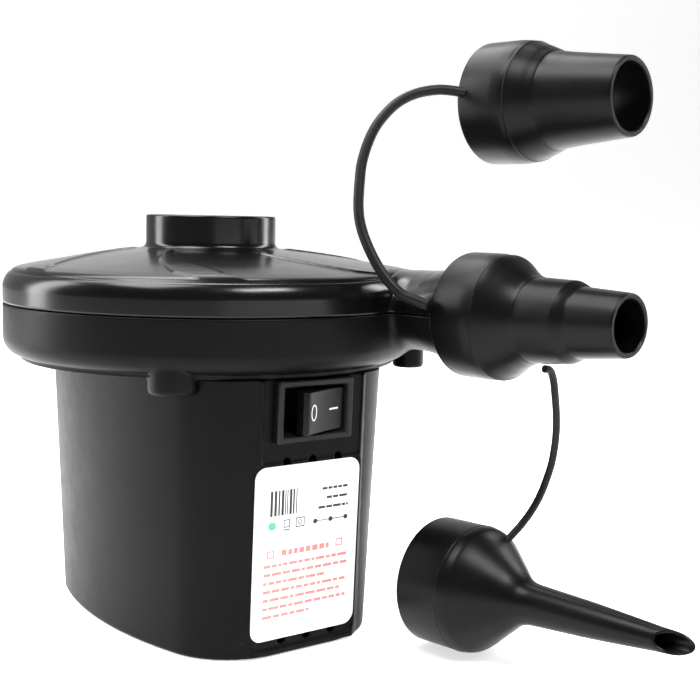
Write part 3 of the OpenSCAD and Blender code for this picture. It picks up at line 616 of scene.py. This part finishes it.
# ------------------------------------------------------------------ nozzles
def spline_profile(pts, n_each=4, keep=()):
    """Denser outline: straight between the points, with each corner rounded a little."""
    p = [np.array(q, float) for q in pts]
    out = [p[0]]
    for i in range(1, len(p) - 1):
        a, b, c = p[i - 1], p[i], p[i + 1]
        rad = 0.28 if i in keep else 0.9
        la, lc = np.linalg.norm(a - b), np.linalg.norm(c - b)
        k = min(rad, la*0.42, lc*0.42)
        s, e = b + (a - b)/la*k, b + (c - b)/lc*k
        for t in np.linspace(0, 1, n_each + 1):
            out.append((1 - t)**2*s + 2*t*(1 - t)*b + t*t*e)
    out.append(p[-1])
    return out


def lathe(name, profile, mat, place, seg=160, warp=None):
    """Closed shell of revolution; profile points are (station, radius), the axis is local -Y."""
    n = len(profile)
    ang = np.arange(seg)*2*math.pi/seg
    verts = np.zeros((n, seg, 3))
    for i, (s, r) in enumerate(profile):
        verts[i, :, 0] = r*np.cos(ang)
        verts[i, :, 1] = -s
        verts[i, :, 2] = r*np.sin(ang)
    if warp is not None:
        verts = warp(verts, ang)
    V = verts.reshape(-1, 3)
    V = np.array([place @ Vector(v) for v in V])
    faces = []
    for i in range(n):
        i2 = (i + 1) % n
        for j in range(seg):
            j2 = (j + 1) % seg
            faces.append((i*seg + j, i*seg + j2, i2*seg + j2, i2*seg + j))
    ob = new_mesh(name, V, faces, mat)
    bm = bmesh.new()
    bm.from_mesh(ob.data)
    bmesh.ops.recalc_face_normals(bm, faces=bm.faces)
    bm.to_mesh(ob.data)
    bm.free()
    weighted(ob, 28)
    return ob


spout_m = Matrix.Translation((SPX, -SPY, SEAM)) @ Matrix.Rotation(SPA, 4, 'Z')
large_m = Matrix.Translation((56.9, -48.1, 136.5)) @ Matrix.Rotation(math.radians(8.5), 4, 'Z')
small_m = Matrix.Translation((33.1, -58.4, 15.8)) @ Matrix.Rotation(math.radians(7.6), 4, 'Z') @ Matrix.Rotation(math.radians(-1), 4, 'X')


def drawn_out(verts, ang):
    # the middle nozzle's narrow end sits a little high
    s = -verts[:, :, 1]
    out = verts.copy()
    out[:, :, 1] = -(s + 0.4*np.clip((s - 34)/12, 0, 1))
    out[:, :, 2] += 0.8*np.clip((s - 18)/26, 0, 1)
    return out


def bead(s, r, h=0.16, w=0.22):
    """A fine raised parting line at station s."""
    return [(s - w, r), (s - w*0.45, r + h), (s + w*0.45, r + h), (s + w, r - 0.02)]


med = [(0.0, 14.7), (0.25, 15.25), (0.7, 15.5)] + [(9.4, 15.5), (11.9, 15.22)] + bead(12.25, 15.13) + \
    [(13.4, 14.35), (14.8, 13.45), (16.6, 12.25), (18.6, 11.25), (20.0, 10.66), (20.95, 10.46), (21.1, 10.34), (22.2, 10.24), (31.2, 9.76), (31.45, 9.66), (32.3, 9.3), (33.6, 8.55), (34.1, 8.36),
     (34.4, 8.32), (45.2, 7.44), (45.75, 7.36), (46.0, 7.12)]
med_in = [(46.0, 6.35), (45.7, 6.12), (44.8, 6.1), (34, 6.9), (31, 8.1), (21.5, 8.7), (14, 12.4), (11, 13.75), (0.5, 13.75), (0.0, 14.1)]
noz_med = lathe("nozzle_medium_moulding", spline_profile(med, 3) + [np.array(q) for q in med_in], nozzle_m, spout_m, warp=drawn_out)
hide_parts("nozzle_medium")
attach(noz_med, "fitted_nozzle")

lar = [(-0.2, 14.8), (0.05, 15.35), (0.5, 15.58)] + [(10.2, 15.58), (12.6, 15.3)] + bead(13.9, 14.95) + \
    [(15.2, 14.5), (17.6, 13.6), (18.8, 13.05), (20.2, 12.5), (20.6, 12.25), (21.8, 12.0), (26, 11.4), (40.3, 9.76), (40.95, 9.66), (41.2, 9.42)]
lar_in = [(41.2, 8.55), (40.9, 8.32), (39.9, 8.3), (20.4, 10.3), (14, 12.8), (11, 13.75), (0.3, 13.75), (-0.2, 14.1)]
noz_lar = lathe("nozzle_large_moulding", spline_profile(lar, 3) + [np.array(q) for q in lar_in], nozzle_m, large_m)
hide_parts("nozzle_large")
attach(noz_lar, "upper_nozzle")

sma = [(-0.5, 14.8), (-0.25, 15.4), (0.2, 15.7)] + [(11.7, 15.7)] + bead(12.3, 15.66, h=0.1) + \
    [(13.4, 15.6), (15.0, 15.2), (16.4, 14.2), (20.0, 11.26), (25.6, 6.7), (27.6, 5.5), (30, 4.95)] + [(s, 4.95 - (s - 30)*0.05) for s in np.linspace(33, 45, 5)] + \
    [(s, 4.2 - (s - 45)*0.0663) for s in np.linspace(48, 66, 7)] + [(70.2, 2.66), (70.9, 2.56), (71.2, 2.35)]
sma_in = [(71.2, 2.05), (70.9, 1.92), (69.6, 1.9), (66, 2.0), (62, 2.2), (58, 2.4), (54, 2.65), (50, 2.9), (45, 3.2), (30, 3.9), (27.6, 4.4), (25, 5.6), (16, 12.9), (13.5, 13.4), (11, 13.75), (0.0, 13.75), (-0.5, 14.1)]


def slant(verts, ang):
    # the tip is cut off at a slant; the long opening looks up and forward
    a0 = math.radians(165)
    s = -verts[:, :, 1]
    t = np.clip((s - 50)/20, 0, 1)
    cut = 7.5*(0.5 + 0.5*np.cos(ang[None, :] - a0))*t**1.3
    out = verts.copy()
    out[:, :, 1] = -(s - cut)
    return out


noz_sma = lathe("nozzle_small_moulding", spline_profile(sma, 3) + [np.array(q) for q in sma_in], nozzle_m, small_m, warp=slant)
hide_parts("nozzle_small")
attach(noz_sma, "lower_nozzle")

# ------------------------------------------------------------------ switch
def on_front(ox, oz, oy=0.0):
    """Local -Y is outward from the leaning front wall, local Z runs up it."""
    return Matrix.Translation((ox, -(FR + DR*oz), oz)) @ Matrix.Rotation(TILT, 4, 'X') @ Matrix.Translation((0, oy, 0))


def rr_loop(w, h, r, n=6):
    pts = []
    for cx, cz, a0 in ((w/2 - r, h/2 - r, 0), (-(w/2 - r), h/2 - r, 90), (-(w/2 - r), -(h/2 - r), 180), (w/2 - r, -(h/2 - r), 270)):
        for i in range(n + 1):
            a = math.radians(a0 + 90*i/n)
            pts.append((cx + r*math.cos(a), cz + r*math.sin(a)))
    return pts


def loft(name, rings, mat, place, closed=False, angle=32):
    """rings: (width, height, corner radius, y) from one side to the other."""
    V, F = [], []
    for w, h, r, y in rings:
        V += [(a, y, b) for a, b in rr_loop(w, h, r)]
    m = len(rr_loop(1, 1, 0.2))
    k = len(rings)
    for i in range(k if closed else k - 1):
        i2 = (i + 1) % k
        for j in range(m):
            F.append((i*m + j, i*m + (j + 1) % m, i2*m + (j + 1) % m, i2*m + j))
    if not closed:
        F.append(tuple(range(m)))
        F.append(tuple((k - 1)*m + j for j in range(m)))
    V = [tuple(place @ Vector(v)) for v in V]
    ob = new_mesh(name, V, F, mat)
    bm = bmesh.new()
    bm.from_mesh(ob.data)
    bmesh.ops.recalc_face_normals(bm, faces=bm.faces)
    bm.to_mesh(ob.data)
    bm.free()
    weighted(ob, angle)
    return ob


sw = on_front(0.4, 60.4)
bezel = loft("switch_bezel", [
    (19.4, 11.8, 0.5, 13.6), (19.4, 11.8, 0.5, 0.74), (21.6, 15.1, 0.8, 0.74), (21.8, 15.3, 0.8, 0.5), (21.8, 15.3, 0.8, -0.7), (21.6, 15.1, 0.8, -1.1), (21.1, 14.6, 0.7, -1.38), (20.6, 14.1, 0.6, -1.44),
    (18.9, 12.3, 0.45, -1.30), (18.5, 11.9, 0.4, -1.1), (17.6, 10.9, 0.35, 0.2), (17.5, 10.8, 0.3, 0.6), (17.4, 10.7, 0.3, 6.8), (0.9, 0.6, 0.2, 6.9)], switch_m, sw)
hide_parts("switch_body")
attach(bezel, "housing")

rk = on_front(0.4, 60.4, 0.7 - 2.1 + 4.2) @ Matrix.Rotation(math.radians(19), 4, 'Z')
prof = [(-7.5, -4.4), (-7.1, -5.6)] + [(i*1.1, -5.65 + 0.45*(1 - (i/6)**2)) for i in np.linspace(-6, 6, 17)] + \
    [(7.1, -5.6), (7.5, -4.4), (6.2, -1.6), (2, 0.9), (0, 1.3), (-2, 0.9), (-6.2, -1.6)]


def rocker_mesh():
    bm = bmesh.new()
    lo = [bm.verts.new(rk @ Vector((a, b, -5.25))) for a, b in prof]
    hi = [bm.verts.new(rk @ Vector((a, b, 5.05))) for a, b in prof]
    n = len(prof)
    for i in range(n):
        bm.faces.new((lo[i], lo[(i + 1) % n], hi[(i + 1) % n], hi[i]))
    f0 = bm.faces.new(lo[::-1])
    f1 = bm.faces.new(hi)
    bmesh.ops.recalc_face_normals(bm, faces=bm.faces)
    edges = [e for e in bm.edges if e.calc_face_angle(0) > math.radians(25)]
    bmesh.ops.bevel(bm, geom=edges, offset=0.32, segments=3, profile=0.6, affect='EDGES', clamp_overlap=True)
    me = bpy.data.meshes.new("rocker_cap")
    for v in bm.verts:
        v.co = v.co*MM
    bm.to_mesh(me)
    bm.free()
    ob = bpy.data.objects.new("rocker_cap", me)
    scene.collection.objects.link(ob)
    paint(ob, rocker_m)
    weighted(ob, 30)
    return ob


rocker = rocker_mesh()
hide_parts("switch_rocker")
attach(rocker, "rocker")


def flat_piece(name, shapes, place, mat, thick=0.05, surf=None):
    """Thin printed marks: each shape is an outline, or an outer and an inner outline."""
    bm = bmesh.new()
    for sh in shapes:
        if isinstance(sh, dict):
            o, i = sh['o'], sh['i']
        else:
            o, i = sh, None

        def vert(p, d):
            y = surf(p[0]) if surf else 0.0
            return bm.verts.new((place @ Vector((p[0], y - d, p[1])))*MM)
        top = [vert(p, thick) for p in o]
        bot = [vert(p, -0.02) for p in o]
        n = len(o)
        for a in range(n):
            bm.faces.new((bot[a], bot[(a + 1) % n], top[(a + 1) % n], top[a]))
        if i is None:
            bm.faces.new(top)
            bm.faces.new(bot[::-1])
        else:
            ti = [vert(p, thick) for p in i]
            bi = [vert(p, -0.02) for p in i]
            for a in range(n):
                b = (a + 1) % n
                bm.faces.new((top[a], top[b], ti[b], ti[a]))
                bm.faces.new((bi[a], bi[b], ti[b], ti[a]))
                bm.faces.new((bot[a], bot[b], bi[b], bi[a]))
    bmesh.ops.recalc_face_normals(bm, faces=bm.faces)
    me = bpy.data.meshes.new(name)
    bm.to_mesh(me)
    bm.free()
    ob = bpy.data.objects.new(name, me)
    scene.collection.objects.link(ob)
    paint(ob, mat)
    return ob


def ell(cx, cz, rx, rz, n=40):
    return [(cx + rx*math.cos(2*math.pi*k/n), cz + rz*math.sin(2*math.pi*k/n)) for k in range(n)]


def bar(x0, z0, x1, z1):
    return [(x0, z0), (x1, z0), (x1, z1), (x0, z1)]


def rock_surf(x):
    return -5.65 + 0.45*(1 - (x/6.6)**2)


marks = flat_piece("switch_prints", [
    {'o': ell(-4.6, 0.0, 1.24, 2.0), 'i': ell(-4.6, 0.0, 0.92, 1.66)},
    [(1.9, -0.16), (3.5, -0.16), (5.1, -0.16), (5.1, 0.22), (3.5, 0.22), (1.9, 0.22)]], rk, ink_white, thick=0.05, surf=rock_surf)
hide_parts("switch_marks")
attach(marks, "rocker")

# ------------------------------------------------------------------ label
lab = on_front(0.0, 25.7)
label = loft("rating_label_film", [(30.56, 43.06, 3.0, 0.6), (30.6, 43.1, 3.0, 0.56), (30.6, 43.1, 3.0, 0.31), (30.5, 43.0, 2.95, 0.28)], label_m, lab)
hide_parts("rating_label")
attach(label, "housing")
rng = np.random.default_rng(7)
LP = lab @ Matrix.Translation((0, 0.28, 0))
black, red, green = [], [], []


def words(x0, x1, z, h, into, gap=0.35, lo=0.7, hi=2.4, keep=0.96):
    x = x0
    while x < x1 - 0.4:
        w = min(float(rng.uniform(lo, hi)), x1 - x)
        if w > 0.35:
            into.append(bar(x, z - h/2, x + w, z + h/2))
        x += w + gap


# a plain block of upright bars where the real label has its approval mark
x = -10.9
while x < -3.4:
    w = float(rng.choice([0.28, 0.45, 0.7]))
    black.append(bar(x, 9.4, x + w, 15.6))
    x += w + float(rng.choice([0.3, 0.45]))
# three short grey lines on the upper right
for i, (x0, x1) in enumerate([(4.2, 12.4), (5.6, 12.2), (3.2, 12.2)]):
    words(x0, x1, 14.6 - 2.35*i, 0.62, black, gap=0.3)
# a row of plain little shapes
green.append(ell(-10.2, 7.0, 1.15, 1.0, 20))
black.append({'o': bar(-6.9, 6.2, -5.1, 8.2), 'i': bar(-6.65, 6.45, -5.35, 7.95)})
black.append(bar(-6.9, 5.5, -5.1, 5.8))
black.append({'o': bar(-3.4, 5.9, -0.8, 8.3), 'i': bar(-3.15, 6.15, -1.05, 8.05)})
black.append({'o': ell(-2.1, 7.1, 0.62, 0.62, 20), 'i': ell(-2.1, 7.1, 0.42, 0.42, 20)})
black.append(bar(2.6, 6.55, 11.4, 6.75))
for cx in (2.4, 7.0, 11.6):
    black.append(ell(cx, 6.65, 0.62, 0.62, 20))
# heading line between two small squares, then the small red lines
words(-7.2, 6.8, 0.0, 1.35, red, gap=0.5, lo=1.1, hi=1.7)
red.append({'o': bar(-11.4, -1.0, -9.4, 0.9), 'i': bar(-11.1, -0.7, -9.7, 0.6)})
red.append({'o': bar(8.9, -0.6, 10.9, 1.3), 'i': bar(9.2, -0.3, 10.6, 1.0)})
for i, x1 in enumerate([12.6, 12.8, 6.2, 12.2, 10.6, 12.9, 1.5]):
    words(-12.2, x1, -2.9 - 2.12*i, 0.72, red, gap=0.42, lo=0.9, hi=3.0)
for nm, shp, mt in (("label_print_black", black, ink_black), ("label_print_red", red, ink_red), ("label_print_green", green, ink_green)):
    ob = flat_piece(nm, shp, LP, mt, thick=0.02)
    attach(ob, "housing")

# ------------------------------------------------------------------ stage
bm = bmesh.new()
prof_s = [(-3.0, 0.0), (0.6, 0.0), (1.6, 0.0)] + [(1.6 + 1.2*math.sin(a), 1.2 - 1.2*math.cos(a)) for a in np.linspace(0.1, math.pi/2, 12)] + [(2.8, 4.0)]
rows = [[bm.verts.new((x, y, z - 0.0002)) for (y, z) in prof_s] for x in (-4.0, 4.0)]
for i in range(len(prof_s) - 1):
    bm.faces.new((rows[0][i], rows[1][i], rows[1][i + 1], rows[0][i + 1]))
me = bpy.data.meshes.new("studio_sweep")
bm.to_mesh(me)
bm.free()
me.polygons.foreach_set("use_smooth", [True]*len(me.polygons))
sweep = bpy.data.objects.new("studio_sweep", me)
scene.collection.objects.link(sweep)
sm = bpy.data.materials.new("sweep_paper")
t, b = nt(sm)
tc = add(t, 'ShaderNodeTexCoord')
nz = add(t, 'ShaderNodeTexNoise', i_Scale=3.0, i_Detail=3.0)
t.links.new(tc.outputs['Object'], nz.inputs['Vector'])
t.links.new(ramp(t, nz.outputs[0], [(0.3, (0.93, 0.93, 0.93)), (0.7, (0.945, 0.945, 0.945))]), b.inputs['Base Color'])
b.inputs['Roughness'].default_value = 0.9
b.inputs['Specular IOR Level'].default_value = 0.05
b.inputs['Emission Color'].default_value = (1, 1, 1, 1)
# the paper glows behind and beside the pump, and falls off towards the front
sep = add(t, 'ShaderNodeSeparateXYZ')
t.links.new(tc.outputs['Object'], sep.inputs[0])
rng_y = add(t, 'ShaderNodeMapRange')
rng_y.inputs[1].default_value = -0.32
rng_y.inputs[2].default_value = -0.06
rng_y.inputs[3].default_value = 0.04
rng_y.inputs[4].default_value = 0.66
t.links.new(sep.outputs[1], rng_y.inputs[0])
# and towards the left, outside the picture
skew = add(t, 'ShaderNodeMath', operation='MULTIPLY_ADD')
t.links.new(sep.outputs[1], skew.inputs[0])
skew.inputs[1].default_value = -0.384
t.links.new(sep.outputs[0], skew.inputs[2])
rng_x = add(t, 'ShaderNodeMapRange')
rng_x.inputs[1].default_value = -0.40
rng_x.inputs[2].default_value = -0.10
rng_x.inputs[3].default_value = 0.12
rng_x.inputs[4].default_value = 1.0
t.links.new(skew.outputs[0], rng_x.inputs[0])
glow = add(t, 'ShaderNodeMath', operation='MULTIPLY')
t.links.new(rng_y.outputs[0], glow.inputs[0])
t.links.new(rng_x.outputs[0], glow.inputs[1])
t.links.new(glow.outputs[0], b.inputs['Emission Strength'])
sweep.data.materials.append(sm)


def area(name, loc, target, sx, sy, power):
    li = bpy.data.lights.new(name, 'AREA')
    li.shape = 'RECTANGLE'
    li.size = sx
    li.size_y = sy
    li.energy = power
    ob = bpy.data.objects.new(name, li)
    ob.location = loc
    ob.rotation_euler = (Vector(target) - Vector(loc)).to_track_quat('-Z', 'Y').to_euler()
    scene.collection.objects.link(ob)
    return ob


centre = (0.02, -0.02, 0.07)
area("softbox_left", (-0.62, 0.60, 0.32), centre, 0.26, 0.9, 9)
area("softbox_right", (0.88, -0.12, 0.32), centre, 0.20, 0.9, 7)
area("softbox_top", (-0.05, 0.45, 0.95), centre, 1.0, 0.5, 11)
area("softbox_over", (-0.32, 0.0, 0.80), centre, 0.35, 0.35, 6)
area("softbox_front", (0.10, -0.75, 1.05), centre, 0.5, 0.25, 14)
area("softbox_low", (0.25, -0.75, 0.06), (0.06, -0.06, 0.06), 1.4, 0.05, 0.8)

world = bpy.data.worlds.new("studio")
scene.world = world
world.use_nodes = True
bg = world.node_tree.nodes.get('Background') or world.node_tree.nodes.new('ShaderNodeBackground')
bg.inputs[0].default_value = (1, 1, 1, 1)
bg.inputs[1].default_value = 0.14
scene.view_settings.view_transform = 'Standard'
scene.view_settings.look = 'None'
scene.view_settings.exposure = 0.0
